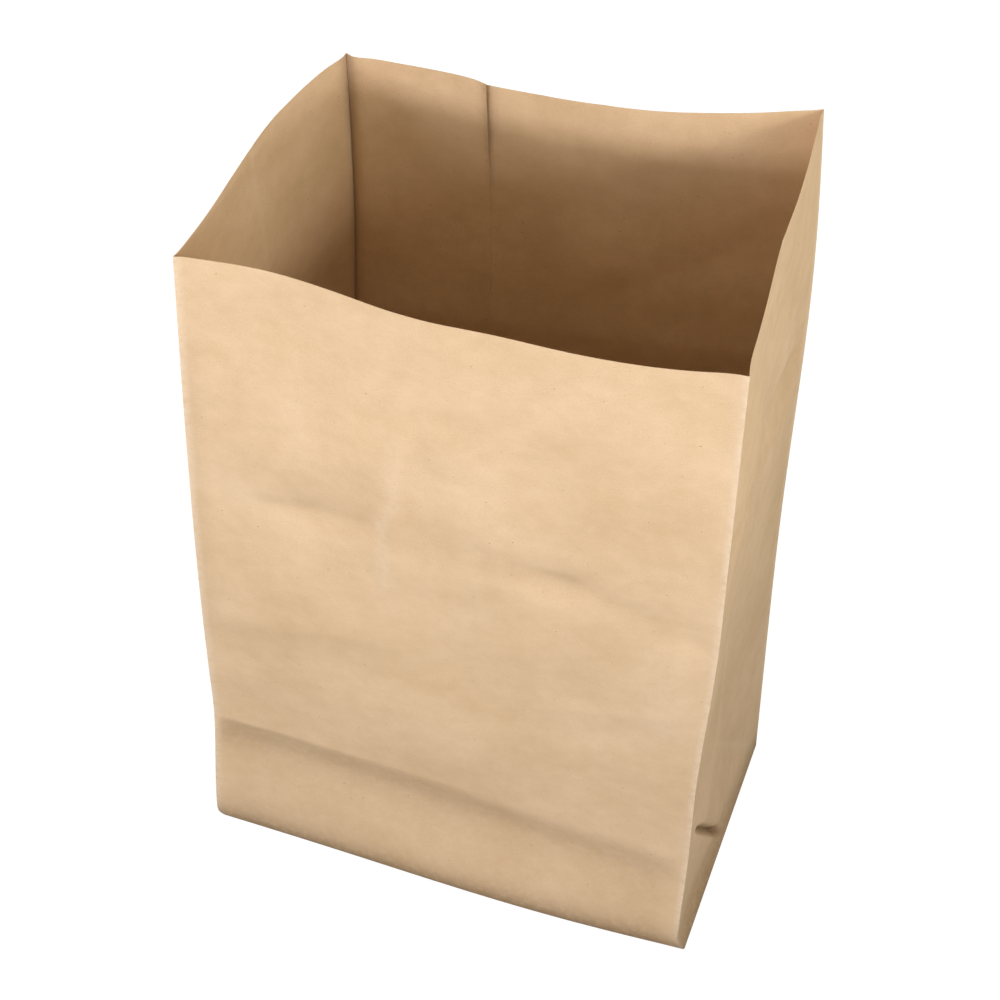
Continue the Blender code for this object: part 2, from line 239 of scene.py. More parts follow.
def upright_edges(sheet, shape, height):
    """The four upright edges: front left, front right, back right, back left."""
    side = sheet.width / 2
    back = base_depth(sheet) / 2
    bow = np.sin(math.pi * np.clip(height / sheet.height, 0, 1))
    rounding = 1 - np.clip(1 - height / sheet.toe_reach, 0, 1) ** 2
    toe = sheet.toe * rounding * (1 - eased((height - sheet.toe_reach) / TOE_FADE))
    front_left = edge_line(sheet, (-side, -back), shape.mouth_front_left, height)
    front_left[..., 0] -= shape.left_edge_bow * bow + toe
    front_left[..., 1] += shape.crease_edge * crease_pull(shape, height, shape.crease_left)
    front_right = edge_line(sheet, (side, -back), shape.mouth_front_right, height)
    front_right[..., 0] -= shape.right_edge_pinch * pinch_pull(height)
    front_right[..., 1] += shape.crease_edge * crease_pull(shape, height, shape.crease_right)
    back_right = edge_line(sheet, (side, back), shape.mouth_back_right, height)
    along = np.clip(height / sheet.height, 0, 1)
    back_right[..., 0] += rim_wave(shape.back_right_wave, along)
    back_left = edge_line(sheet, (-side, back), shape.mouth_back_left, height)
    back_left[..., 0] += shape.back_left_bow * bow
    foot = 1 - eased(height / FOOT_RISE)
    front_left[..., 1] -= toe + shape.foot_corners[0] * foot
    front_right[..., 1] -= toe + shape.foot_corners[1] * foot
    return front_left, front_right, back_right, back_left


def fold_line(across, height, start, end):
    """Share along a line on a panel, and the distance to its left side."""
    run = np.subtract(end, start)
    size = math.hypot(*run)
    step_x = across - start[0]
    step_y = height - start[1]
    along = (step_x * run[0] + step_y * run[1]) / size ** 2
    aside = (step_y * run[0] - step_x * run[1]) / size
    return along, aside


def mark_ends(along):
    """1 along a line's middle third, fading out a little past its two ends."""
    return eased(3 * along + 0.5) * eased(3.5 - 3 * along)


def soft_ridge(across, height, start, end, width, rise):
    """A rounded ridge from start to end; a negative rise makes a groove."""
    along, aside = fold_line(across, height, start, end)
    return rise * mark_ends(along) * np.exp(-(aside / width) ** 2)


def soft_crease(across, height, start, end, width, rise):
    """A fold with one sharp line and two straight slopes that fade out."""
    along, aside = fold_line(across, height, start, end)
    slopes = np.clip(1 - np.abs(aside) / width, 0, None) ** 1.5
    return rise * mark_ends(along) * slopes


# Folds and dents of each panel: kind, start, end, width and rise, in millimetres
FRONT_MARKS = (
    (soft_crease, (17, 144), (48, 149), 10, -1.1),
    (soft_crease, (20, 158), (50, 180), 16, 0.9),
    (soft_ridge, (53, 190), (50, 150), 3.2, 0.8),
    (soft_ridge, (50.5, 155), (49, 122), 2.6, 0.6),
    (soft_ridge, (60, 178), (65, 140), 7, -0.7),
    (soft_crease, (70, 149), (99, 143), 9, -1.2),
    (soft_crease, (86, 146), (130, 129), 13, -1.1),
    (soft_crease, (61, 194), (83, 207), 9, -0.6),
    (soft_crease, (2, 90), (49, 103), 10, 0.5),
    (soft_ridge, (100, 130), (101, 92), 10, -0.5),
    (soft_ridge, (12, 200), (12, 100), 8, -0.35),
    (soft_ridge, (98, 180), (122, 150), 14, 0.3),
    (soft_crease, (84, 88), (128, 100), 9, 0.35),
)
RIGHT_MARKS = (
    (soft_crease, (0, 158), (82, 154.5), 14, -2),
    (soft_ridge, (20, 200), (34, 120), 10, 0.5),
    (soft_ridge, (58, 110), (50, 60), 9, 0.5),
    (soft_crease, (52, 205), (72, 170), 9, -0.5),
)
BACK_MARKS = (
    (soft_ridge, (50, 200), (72, 150), 12, -0.9),
    (soft_crease, (18, 186), (60, 160), 11, 0.8),
    (soft_ridge, (30, 120), (46, 170), 10, -0.6),
    (soft_crease, (6, 150), (120, 142), 12, -0.8),
    (soft_ridge, (100, 190), (112, 130), 9, 0.6),
    (soft_ridge, (75, 218), (90, 196), 10, -0.5),
)
LEFT_MARKS = (
    (soft_crease, (4, 146), (78, 152), 12, -1),
    (soft_ridge, (26, 205), (34, 165), 10, 0.5),
    (soft_ridge, (56, 190), (48, 130), 10, -0.6),
)
MILLIMETRES = 1000

# Over this far in from a panel's edges its relief fades in
MARK_FADE = 0.007


def away_from_edges(across, size, fade):
    """0 on a panel's two upright edges, 1 further in than the fade."""
    return eased(across / fade) * eased((size - across) / fade)


def marks_on(marks, across, height, size):
    place = across * MILLIMETRES, height * MILLIMETRES
    total = sum(kind(*place, *mark) for kind, *mark in marks) / MILLIMETRES
    return total * away_from_edges(across, size, MARK_FADE)


# The upright folds stay sharper than square: how far in the panels start beside
# the back left fold, on the back and on the left, and beside the other folds
BACK_FOLD_TUCK = 0.0011
LEFT_FOLD_TUCK = 0.0006
FOLD_TUCK = 0.00035
FOLD_TUCK_PEAK = 0.0030
FOLD_TUCK_RISE = 0.060


def fold_tuck(across, height, size, start, end):
    """The panel dips in beside its folds, by one size at each of them."""
    near = across / FOLD_TUCK_PEAK
    far = (size - across) / FOLD_TUCK_PEAK
    dip = start * near * np.exp(1 - near) + end * far * np.exp(1 - far)
    return -dip * eased(height / FOLD_TUCK_RISE)


def gusset_fold(sheet, across, height):
    """1 on the gusset's middle crease, 0 at its edges and its base line."""
    middle = sheet.gusset / 2
    edge = np.minimum(across, sheet.gusset - across)
    return np.clip(np.minimum(edge, height) / middle, 0, 1)


# The lip of the front crease: how far below it the paper turns in, how deep, and
# over how far it comes out again; it is wider and shallower towards the right
LIP_FALL = 0.0105
LIP_FALL_GAIN = 0.35
LIP_DEPTH = 0.0027
LIP_DEPTH_LOSS = 0.25
LIP_SHARPNESS = 1.6
LIP_RECOVERY = 0.026


def crease_height(sheet, shape, across):
    right = panel_share(across, sheet.width)
    return shape.crease_left + (shape.crease_right - shape.crease_left) * right


def crease_lip(sheet, shape, across, height):
    """The paper turns in below the crease line, most sharply at the left."""
    right = panel_share(across, sheet.width)
    below = crease_height(sheet, shape, across) - height
    fall = LIP_FALL * (1 + LIP_FALL_GAIN * right)
    depth = LIP_DEPTH * (1 - LIP_DEPTH_LOSS * right)
    down = np.clip(below / fall, 0, 1)
    inward = (1 - right) * (1 - (1 - down) ** LIP_SHARPNESS) + right * eased(down)
    recovery = eased((below - fall) / LIP_RECOVERY)
    ends = away_from_edges(across, sheet.width, MARK_FADE)
    return -depth * inward * (1 - recovery) * ends


def foot_bow(sheet, shape, across):
    """How far the front's base line bows out."""
    return rim_wave(shape.front_foot, panel_share(across, sheet.width))


def front_relief(sheet, shape, across, height):
    along = across / sheet.width
    wave = rim_wave(shape.rim_wave, along)
    bulge = np.clip(np.sin(math.pi * along), 0, 1)
    belly = shape.front_belly * bulge * np.sin(math.pi * upper_share(sheet, height))
    dip = (shape.crease_depth - shape.crease_edge) * np.sqrt(bulge)
    dip = dip * crease_pull(shape, height, crease_height(sheet, shape, across))
    relief = wave * rim_share(sheet, shape, height) + belly - dip
    relief += foot_bow(sheet, shape, across) * (1 - eased(height / FOOT_RISE))
    relief += crease_lip(sheet, shape, across, height)
    relief += fold_tuck(across, height, sheet.width, FOLD_TUCK, FOLD_TUCK)
    return relief + marks_on(FRONT_MARKS, across, height, sheet.width)


# The pleat low on the right gusset: its line, its bulge and its groove
PLEAT_START = (0.007, 0.0425)
PLEAT_END = (0.0447, 0.0023)
PLEAT_BULGE = 0.0014
PLEAT_REACH = 0.016
PLEAT_FADE = 0.014
PLEAT_GROOVE = 0.0030
PLEAT_WIDTH = 0.0012


def pleat(across, height, size):
    """The corner below the line stands proud, with a groove along the line."""
    along, aside = fold_line(across, height, PLEAT_START, PLEAT_END)
    ends = eased(4 * along) * eased(10 - 10 * along)
    bulge = PLEAT_BULGE * np.exp(-(aside / PLEAT_REACH) ** 2)
    bulge = bulge * away_from_edges(across, size, PLEAT_FADE) * eased(height / PLEAT_FADE)
    groove = PLEAT_GROOVE * np.exp(-(aside / PLEAT_WIDTH) ** 2)
    return ends * (bulge - groove)


def right_relief(sheet, shape, across, height):
    upper = upper_share(sheet, height)
    tuck = shape.apex_tuck + (shape.right_rim_tuck - shape.apex_tuck) * upper
    relief = -tuck * gusset_fold(sheet, across, height)
    relief += pleat(across, height, sheet.gusset)
    relief += fold_tuck(across, height, sheet.gusset, FOLD_TUCK, FOLD_TUCK)
    return relief + marks_on(RIGHT_MARKS, across, height, sheet.gusset)


def left_relief(sheet, shape, across, height):
    upper = upper_share(sheet, height)
    along = panel_share(across, sheet.gusset)
    bow = rim_wave(shape.left_wave, along) * upper
    tuck = shape.apex_tuck * (1 - upper) * gusset_fold(sheet, across, height)
    bow += fold_tuck(across, height, sheet.gusset, LEFT_FOLD_TUCK, FOLD_TUCK)
    return bow - tuck + marks_on(LEFT_MARKS, across, height, sheet.gusset)


def back_relief(sheet, shape, across, height):
    along = panel_share(across, sheet.width)
    bulge = np.sin(math.pi * along)
    belly = shape.back_belly * bulge * np.sin(math.pi * upper_share(sheet, height))
    bow = rim_wave(shape.back_wave, along) * rim_share(sheet, shape, height)
    bow += fold_tuck(across, height, sheet.width, FOLD_TUCK, BACK_FOLD_TUCK)
    return belly + bow + marks_on(BACK_MARKS, across, height, sheet.width)


# Wrinkles and waves that every panel has: how many, their ranges of size, how high
# (a wave of middle length), and the distance from the folds where they fade out
WRINKLE_SEED = 11
WRINKLE_COUNT = 130
WRINKLE_LENGTH = (0.010, 0.038)
WRINKLE_WIDTH = (0.0022, 0.0060)
WRINKLE_RISE = 0.00013
WAVE_COUNT = 26
WAVE_LENGTH = (0.020, 0.075)
WAVE_MIDDLE = 0.045
WAVE_RISE = 0.00007
WRINKLE_FADE = 0.008


def fine_wrinkles(sheet, around, height):
    """Faint straight wrinkles and a slight unevenness all over the sheet."""
    draw = np.random.RandomState(WRINKLE_SEED)
    girth = 2 * (sheet.width + sheet.gusset)
    total = np.zeros_like(around)
    for _ in range(WRINKLE_COUNT):
        start = np.array([draw.uniform(0, girth), draw.uniform(0, sheet.height)])
        turn = draw.uniform(0, math.pi)
        size = draw.uniform(*WRINKLE_LENGTH)
        end = start + size * np.array([math.cos(turn), math.sin(turn)])
        width = draw.uniform(*WRINKLE_WIDTH)
        rise = WRINKLE_RISE * draw.uniform(-1, 1)
        total += soft_crease(around, height, start, end, width, rise)
    for _ in range(WAVE_COUNT):
        turn = draw.uniform(0, 2 * math.pi)
        wavelength = draw.uniform(*WAVE_LENGTH)
        phase = draw.uniform(0, 2 * math.pi)
        place = around * math.cos(turn) + height * math.sin(turn)
        size = WAVE_RISE * wavelength / WAVE_MIDDLE
        total += size * np.sin(2 * math.pi * place / wavelength + phase)
    seam_end = sheet.seam_lap + WRINKLE_FADE
    glued = away_from_edges(around - sheet.seam_lap, girth - sheet.seam_lap, seam_end)
    for start in panel_starts(sheet):
        total *= eased(np.abs(around - start) / WRINKLE_FADE)
    return total * glued * eased(height / WRINKLE_FADE)


def panel_starts(sheet):
    """Where each panel starts, round the sheet from the seam's free edge."""
    left = sheet.seam_place
    front = left + sheet.gusset
    right = front + sheet.width
    back = right + sheet.gusset
    return left, front, right, back


def panel_at(sheet, around):
    """The panel at a place: 0 is the sheet's first end, then left to back."""
    return np.searchsorted(panel_starts(sheet), around, side="right")


# The seam's free edge stands off at the rim: how far, how wide and how far down
SEAM_LIFT = 0.0016
SEAM_LIFT_REACH = 0.0040
SEAM_LIFT_FALL = 0.032

# Glued plies lie this many thicknesses of the paper apart
PLY_PITCH = 1.15


def seam_layers(sheet, around, height):
    """Inward offset of the sheet's first end, which laps over its other end."""
    lap = eased((sheet.seam_place - around) / (sheet.seam_place - sheet.seam_lap))
    lift = SEAM_LIFT * np.exp(-np.clip(around, 0, None) / SEAM_LIFT_REACH)
    lift = lift * eased(1 - (sheet.height - height) / SEAM_LIFT_FALL)
    return PLY_PITCH * sheet.paper * lap + lift


def wall_place(sheet, shape, around, height):
    """Middle of the paper at places round the sheet and up the wall."""
    left, front, right, back = panel_starts(sheet)
    front_left, front_right, back_right, back_left = upright_edges(sheet, shape, height)
    corners = (back_right, back_left, front_left, front_right, back_right, back_left)
    panels = (
        (left - sheet.width, sheet.width, back_relief), (left, sheet.gusset, left_relief),
        (front, sheet.width, front_relief), (right, sheet.gusset, right_relief),
        (back, sheet.width, back_relief))
    panel = panel_at(sheet, around)
    place = np.zeros(around.shape + (3,))
    outward = np.zeros_like(place)
    relief = np.zeros_like(around)
    for order, (begin, size, relief_of) in enumerate(panels):
        inside = panel == order
        across = around[inside] - begin
        start, end = corners[order][inside], corners[order + 1][inside]
        along = end - start
        place[inside] = start + along * (across / size)[:, None]
        side = np.stack([along[:, 1], -along[:, 0], 0 * along[:, 0]], axis=-1)
        outward[inside] = side / np.linalg.norm(side, axis=-1, keepdims=True)
        relief[inside] = relief_of(sheet, shape, across, height[inside])
    relief += fine_wrinkles(sheet, around, height)
    relief -= np.where(panel == 0, seam_layers(sheet, around, height), 0)
    place += outward * relief[..., None]
    rise = sheet.seam_stagger * np.clip((left - around) / left, 0, 1)
    place[..., 2] += rise * rim_share(sheet, shape, height) ** 8
    return place


# Plies of the base, from the ground up
REAR_FLAP, REAR_SEAM, REAR_MITRE, FRONT_FLAP, FRONT_MITRE, END_STRIP = range(6)
# How far in from the base fold the plies reach their heights, and how far past
# the lap the sheet's first end lies on the other
PLY_RISE = 0.0030
LAP_CLEARANCE = 0.004


def base_place(sheet, shape, around, inward):
    """Places on the flaps that are folded in below the walls."""
    left, front, right, back = panel_starts(sheet)
    side = sheet.width / 2
    edge = base_depth(sheet) / 2
    panel = panel_at(sheet, around)
    across = around - np.array((left - sheet.width, left, front, right, back))[panel]
    corner = np.minimum(across, sheet.width - across)
    hand = np.where(across < side, -1.0, 1.0)
    mitred = corner < inward
    from_side = np.where(mitred, inward, corner)
    from_edge = np.where(mitred, corner, inward)
    lap_ply = np.where(around < sheet.seam_lap + LAP_CLEARANCE, REAR_SEAM, REAR_FLAP)
    fade = 1 - eased(inward / FOOT_FLAP)
    foot_left, foot_right = shape.foot_corners
    stand = foot_left + (foot_right - foot_left) * panel_share(across, sheet.width)
    stand = stand + foot_bow(sheet, shape, across)
    depth_left = base_depth(sheet) + foot_left * fade
    depth_right = base_depth(sheet) + foot_right * fade
    left_front_right = [panel == 1, panel == 2, panel == 3]
    x = np.select(
        left_front_right, [inward - side, hand * (side - from_side), side - inward],
        -hand * (side - from_side))
    y = np.select(
        left_front_right,
        [edge - (around - left) / sheet.gusset * depth_left,
         from_edge - edge - stand * fade,
         edge - (back - around) / sheet.gusset * depth_right],
        edge - from_edge)
    ply = np.select(
        left_front_right,
        [END_STRIP, np.where(mitred, FRONT_MITRE, FRONT_FLAP), END_STRIP],
        np.where(mitred, REAR_MITRE, lap_ply))
    z = PLY_PITCH * sheet.paper * ply * eased(inward / PLY_RISE)
    return np.stack([x, y, z], axis=-1)


def sharp_place(sheet, shape, around, height):
    """Places of the folded sheet with every fold a sharp line."""
    wall = wall_place(sheet, shape, around, np.clip(height, 0, None))
    base = base_place(sheet, shape, around, np.clip(-height, 0, None))
    return np.where((height > 0)[:, None], wall, base)


def folded_place(sheet, shape, around, height):
    """The sharp shape averaged over a fold's radius, so that folds are round."""
    steps = ((-1, 0.25), (0, 0.5), (1, 0.25))
    radius = sheet.fold_radius
    return sum(
        part_across * part_up * sharp_place(
            sheet, shape, around + across * radius, height + up * radius)
        for across, part_across in steps
        for up, part_up in steps)


# Places on the wall that its box is measured from
BOX_COLUMNS = 400
BOX_ROWS = 60


def base_centre(sheet, shape):
    """Middle of the base, when the bag's box stands over the origin."""
    girth = 2 * (sheet.width + sheet.gusset)
    around, height = np.meshgrid(
        np.linspace(0, girth, BOX_COLUMNS), np.linspace(0, sheet.height, BOX_ROWS))
    places = wall_place(sheet, shape, around.ravel(), height.ravel())
    middle = (places.min(axis=0) + places.max(axis=0)) / 2
    return Vector((-middle[0], -middle[1], sheet.paper / 2))


# Modelling the sheet: rows down the base flaps, lines up the toe, lines that refine
# the crease's lip and each side of the pleat, and the angle that stays sharp
FLAP_ROWS = 10
TOE_LINES = (0.3, 0.6, 1.0)
LIP_LINES = 6
PLEAT_LINES = 4
SMOOTH_ANGLE = 50


def deselect_all():
    if bpy.context.object and bpy.context.object.mode != "OBJECT":
        bpy.ops.object.mode_set(mode="OBJECT")
    bpy.ops.object.select_all(action="DESELECT")


def select_faces(piece, wanted):
    """Select the faces whose middle passes the test, in edit mode."""
    bpy.ops.mesh.select_mode(type="FACE")
    mesh = bmesh.from_edit_mesh(piece.data)
    for face in mesh.faces:
        face.select_set(wanted(face.calc_center_median()))
    bmesh.update_edit_mesh(piece.data)


def select_edges(piece, wanted):
    """Select the edges whose two ends pass the test, in edit mode."""
    bpy.ops.mesh.select_mode(type="EDGE")
    bpy.ops.mesh.select_all(action="DESELECT")
    mesh = bmesh.from_edit_mesh(piece.data)
    for edge in mesh.edges:
        if all(wanted(vert.co) for vert in edge.verts):
            edge.select_set(True)
    bmesh.update_edit_mesh(piece.data)


def score(piece, place, direction, wanted=None):
    """Put a fold line through the flat sheet, through a place on it."""
    if wanted is None:
        bpy.ops.mesh.select_all(action="SELECT")
    else:
        select_faces(piece, wanted)
    normal = (-direction[1], direction[0], 0)
    bpy.ops.mesh.bisect(plane_co=(place[0], place[1], 0), plane_no=normal,
                        threshold=0.00001)


def stretch_plane(size, centre):
    """Stretch and move the new unit plane, and stay in edit mode."""
    bpy.ops.object.mode_set(mode="EDIT")
    bpy.ops.mesh.select_all(action="SELECT")
    bpy.ops.transform.resize(value=(*size, 1))
    bpy.ops.transform.translate(value=(*centre, 0))


def cut_flat_sheet(sheet):
    """A flat sheet: its girth and lap along X, its wall and base flaps along Y."""
    across = 2 * (sheet.width + sheet.gusset) + sheet.seam_lap
    deselect_all()
    bpy.ops.mesh.primitive_grid_add(
        x_subdivisions=round(across / sheet.cell),
        y_subdivisions=round(sheet.height / sheet.cell), size=1)
    piece = bpy.context.object
    piece.name = piece.data.name = "kraft_bag"
    stretch_plane((across, sheet.height), (across / 2, sheet.height / 2))
    return piece


def extend_flaps(piece, sheet):
    """The base flaps, extruded down from the sheet's lower edge."""
    select_edges(piece, lambda co: co.y < sheet.cell / 4)
    step = (base_depth(sheet) + sheet.flap_lap) / 2 / FLAP_ROWS
    for _ in range(FLAP_ROWS):
        bpy.ops.mesh.extrude_region_move(TRANSFORM_OT_translate={"value": (0, -step, 0)})


def refine_bends(piece, sheet, shape):
    """Closer lines where the paper bends sharply: toe, crease lip and pleat."""
    _, front, right, _ = panel_starts(sheet)
    for up in TOE_LINES:
        score(piece, (0, sheet.toe_reach * up), (1, 0))
    for step in range(1, LIP_LINES + 1):
        below = step * LIP_FALL / LIP_LINES
        score(piece, (front, shape.crease_left - below),
              (sheet.width, shape.crease_right - shape.crease_left - below),
              lambda co: front < co.x < right and co.y > 0)
    run = np.subtract(PLEAT_END, PLEAT_START)
    across_run = np.array([-run[1], run[0]]) / math.hypot(*run)
    for step in range(-PLEAT_LINES, PLEAT_LINES + 1):
        start = np.add(PLEAT_START, across_run * step * PLEAT_WIDTH / 2)
        score(piece, (right + start[0], start[1]), run,
              lambda co: near_pleat(co.x - right, co.y))


def near_pleat(across, height):
    along, aside = fold_line(across, height, PLEAT_START, PLEAT_END)
    return across > 0 and 0 < along < 1 and abs(aside) < 3 * PLEAT_WIDTH


def score_folds(piece, sheet, shape):
    """Fold lines, each with a line either side of it for the fold's radius."""
    radius = sheet.fold_radius
    beside = (-radius, 0, radius)
    left, front, right, back = panel_starts(sheet)
    middle = sheet.gusset / 2
    slant = radius * math.sqrt(2)
    for step in beside:
        for start in (left, front, right, back):
            score(piece, (start + step, 0), (0, 1))
        score(piece, (0, step), (1, 0))
        score(piece, (front, shape.crease_left + step),
              (sheet.width, shape.crease_right - shape.crease_left),
              lambda co: front < co.x < right and co.y > 0)
        for start in (left, right):
            near = start - radius
            far = start + sheet.gusset + radius
            score(piece, (start + middle + step, 0), (0, 1),
                  lambda co: near < co.x < far and co.y > middle)
            for corner, hand in ((start, 1), (start + sheet.gusset, -1)):
                score(piece, (corner + step * math.sqrt(2), 0), (hand, 1),
                      lambda co: near < co.x < far and 0 < co.y < middle
                      and (co.x - start - middle) * hand < 0)
    for corner, hand in ((left, -1), (front, 1), (right, -1), (back, 1),
                         (back + sheet.width, -1)):
        for step in (-slant, 0, slant):
            score(piece, (corner + step, 0), (hand, -1),
                  lambda co: (co.x - corner) * hand > 0 > co.y)


# How pale the folds are: those of the gussets against the upright edges; the paleness is
# worn paper, and along the upright edges partly painted highlight
GUSSET_WEAR = 0.35
WEAR_WIDTH = 0.0009
EDGE_WEAR_AND_HIGHLIGHT_WIDTH = 0.0014

# Painted shade where the paper would lie in shadow: how strongly and how widely along the
# base, below the front crease, on the strip below that, in the inside corner, at the seam
# and in the pleat
BASE_DARK = 1.6
BASE_DARK_WIDTH = 0.0066
CREASE_DARK = 0.60
CREASE_DARK_LOSS = 0.45
CREASE_DARK_ONSET = 0.15
CREASE_DARK_ONSET_GAIN = 0.35
CREASE_DARK_HOLD = 0.7
CREASE_DARK_END = 0.65
CREASE_DARK_FALL = 0.016
CREASE_DARK_FADE = 0.003
STRIP_DARK = 0.34
STRIP_DARK_FADE = 0.010
CORNER_DARK = 1.3
CORNER_WIDTH = 0.0014
CORNER_RISE = 0.15
SEAM_DARK = 1.1
SEAM_DARK_WIDTH = 0.0007
SEAM_DARK_START = 0.180
SEAM_DARK_REACH = 0.045
INSIDE_RIM_START = 0.200
INSIDE_RIM_REACH = 0.022
PLEAT_DARK = 2.0
PLEAT_DARK_WIDTH = 0.0011


def fold_marks(sheet, around, height):
    """1 on an upright edge, less on the gussets' folds, and 0 beside them, with the front's
    pale marks: paler paper, partly worn and partly painted highlight.
    """
    left, front, right, back = panel_starts(sheet)
    middle = sheet.gusset / 2
    edges = [np.abs(around - start) for start in (left, front, right, back)]
    marks = [np.exp(-(np.minimum.reduce(edges) / EDGE_WEAR_AND_HIGHLIGHT_WIDTH) ** 2)]
    marks.append(drawn_marks(PALE_MARKS, around - front, height, sheet.width))
    for start in (left, right):
        inside = (around > start) & (around < start + sheet.gusset)
        edge = np.minimum(around - start, start + sheet.gusset - around)
        centre = np.where(height > middle, np.abs(edge - middle), 1.0)
        slope = np.where(height < middle, np.abs(edge - height) / math.sqrt(2), 1.0)
        nearest = np.where(inside, np.minimum(centre, slope), 1.0)
        marks.append(GUSSET_WEAR * np.exp(-(nearest / WEAR_WIDTH) ** 2))
    return np.maximum.reduce(marks)


# Marks on the front: start, end and half width in millimetres, strength; the pale ones are
# partly worn paper and partly painted highlight along ridges
PALE_MARKS = (
    ((51.5, 185), (51.2, 160), 1.8, 0.40),
    ((51.2, 162), (47.8, 150), 1.8, 0.42),
    ((47.8, 153), (49.2, 125), 1.7, 0.45),
    ((70, 158), (71.2, 118), 4, 0.19),
    ((117, 130), (120, 88), 8, 0.30),
    ((4, 156), (18, 140), 6, 0.15),
)
# Painted shade along the front's creases and dents
SHADED_MARKS = (
    ((17, 145), (33, 151), 2.6, 0.30),
    ((24, 153), (48, 164), 8.5, 0.17),
    ((59, 186), (61.5, 142), 6, 0.15),
    ((70, 145.5), (96, 144.5), 3.4, 0.50),
    ((90, 143), (118, 136), 5, 0.19),
    ((112, 132), (129, 130), 2.2, 0.23),
    ((63, 193), (80, 203), 3, 0.13),
    ((3, 90), (47, 103), 4, 0.13),
    ((99, 130), (100, 98), 11, 0.15),
    ((2, 205), (1.5, 80), 2.8, 0.27),
    ((2, 60), (20, 68), 5, 0.13),
)


def drawn_marks(marks, across, height, size):
    place = across * MILLIMETRES, height * MILLIMETRES
    total = sum(soft_ridge(*place, *mark) for mark in marks)
    return total * away_from_edges(across, size, WEAR_WIDTH)


def dark_marks(sheet, shape, around, height):
    """Painted shade: along the base, below the front crease, on the strip below it, in the
    pleat and in the front's shaded marks.
    """
    _, front, right, _ = panel_starts(sheet)
    base = BASE_DARK * np.exp(-(height / BASE_DARK_WIDTH) ** 2)
    across = around - front
    share_right = panel_share(across, sheet.width)
    below = (crease_height(sheet, shape, across) - height) / CREASE_DARK_FALL
    crease = eased(below / (CREASE_DARK_ONSET + CREASE_DARK_ONSET_GAIN * share_right))
    crease = crease * (1 - eased(below / CREASE_DARK_END - CREASE_DARK_HOLD))
    crease = CREASE_DARK * (1 - CREASE_DARK_LOSS * share_right) * crease
    crease = crease * away_from_edges(across, sheet.width, CREASE_DARK_FADE)
    strip = STRIP_DARK * eased(below) * away_from_edges(
        across, sheet.width, STRIP_DARK_FADE) * (height > 0)
    along, aside = fold_line(around - right, height, PLEAT_START, PLEAT_END)
    groove = PLEAT_DARK * np.exp(-(aside / PLEAT_DARK_WIDTH) ** 2)
    groove = groove * eased(6 * along - 0.4) * eased(12 - 12 * along)
    shaded = drawn_marks(SHADED_MARKS, across, height, sheet.width)
    return base + crease + strip + groove + shaded


def fold_sheet(piece, sheet, shape):
    """Fold the scored sheet into the bag, and keep each point's flat place."""
    mesh = piece.data
    places = np.zeros(len(mesh.vertices) * 3)
    mesh.vertices.foreach_get("co", places)
    flat = places.reshape(-1, 3)
    around = flat[:, 0].copy()
    height = flat[:, 1].copy()
    # Paler marks along the folds, partly painted highlight, and painted shade are kept as
    # attributes
    for name, kind, field, values in (
            ("sheet", "FLOAT_VECTOR", "vector", flat),
            ("fold", "FLOAT", "value", fold_marks(sheet, around, height)),
            ("painted_shade", "FLOAT", "value", dark_marks(sheet, shape, around, height))):
        layer = mesh.attributes.new(name, kind, "POINT")
        layer.data.foreach_set(field, np.asarray(values, np.float32).ravel())
    folded = folded_place(sheet, shape, around, height)
    folded += np.array(base_centre(sheet, shape))
    mesh.vertices.foreach_set("co", folded.astype(np.float32).ravel())
    mesh.update()


def face_outwards(piece):
    """Turn the flat sheet's faces up, which is outwards once it is folded."""
    select_faces(piece, lambda centre: False)
    mesh = bmesh.from_edit_mesh(piece.data)
    mesh.normal_update()
    turned = [face for face in mesh.faces if face.normal.z < 0]
    for face in turned:
        face.select_set(True)
    bmesh.update_edit_mesh(piece.data)
    if turned:
        bpy.ops.mesh.flip_normals()


def thicken(piece, sheet):
    """Give the paper its thickness, half to each side."""
    wall = piece.modifiers.new("Paper", "SOLIDIFY")
    wall.thickness = sheet.paper
    wall.offset = 0
    bpy.ops.object.modifier_apply(modifier=wall.name)


def darken_inside(piece, sheet):
    """Paint shade on the inner side along the back left fold and at the seam."""
    mesh = piece.data
    count = len(mesh.vertices)
    flat = np.zeros(count * 3, np.float32)
    painted_shade = np.zeros(count, np.float32)
    mesh.attributes["sheet"].data.foreach_get("vector", flat)
    mesh.attributes["painted_shade"].data.foreach_get("value", painted_shade)
    around, height = flat[0::3], flat[1::3]
    girth = 2 * (sheet.width + sheet.gusset)
    rim = eased((height - INSIDE_RIM_START) / INSIDE_RIM_REACH)
    corner = np.abs(around - panel_starts(sheet)[0])
    corner = np.exp(-(corner / (CORNER_WIDTH * (1 + rim))) ** 2)
    corner = CORNER_DARK * corner * eased(height / CORNER_RISE)
    seam = np.minimum(np.abs(around), np.abs(around - girth))
    seam = np.exp(-(seam / (SEAM_DARK_WIDTH * (1 + rim))) ** 2)
    seam = SEAM_DARK * seam * eased((height - SEAM_DARK_START) / SEAM_DARK_REACH)
    inner = np.arange(count) >= count // 2
    dark = np.where(inner, np.maximum.reduce([painted_shade, corner, seam]), painted_shade)
    mesh.attributes["painted_shade"].data.foreach_set("value", dark.astype(np.float32))


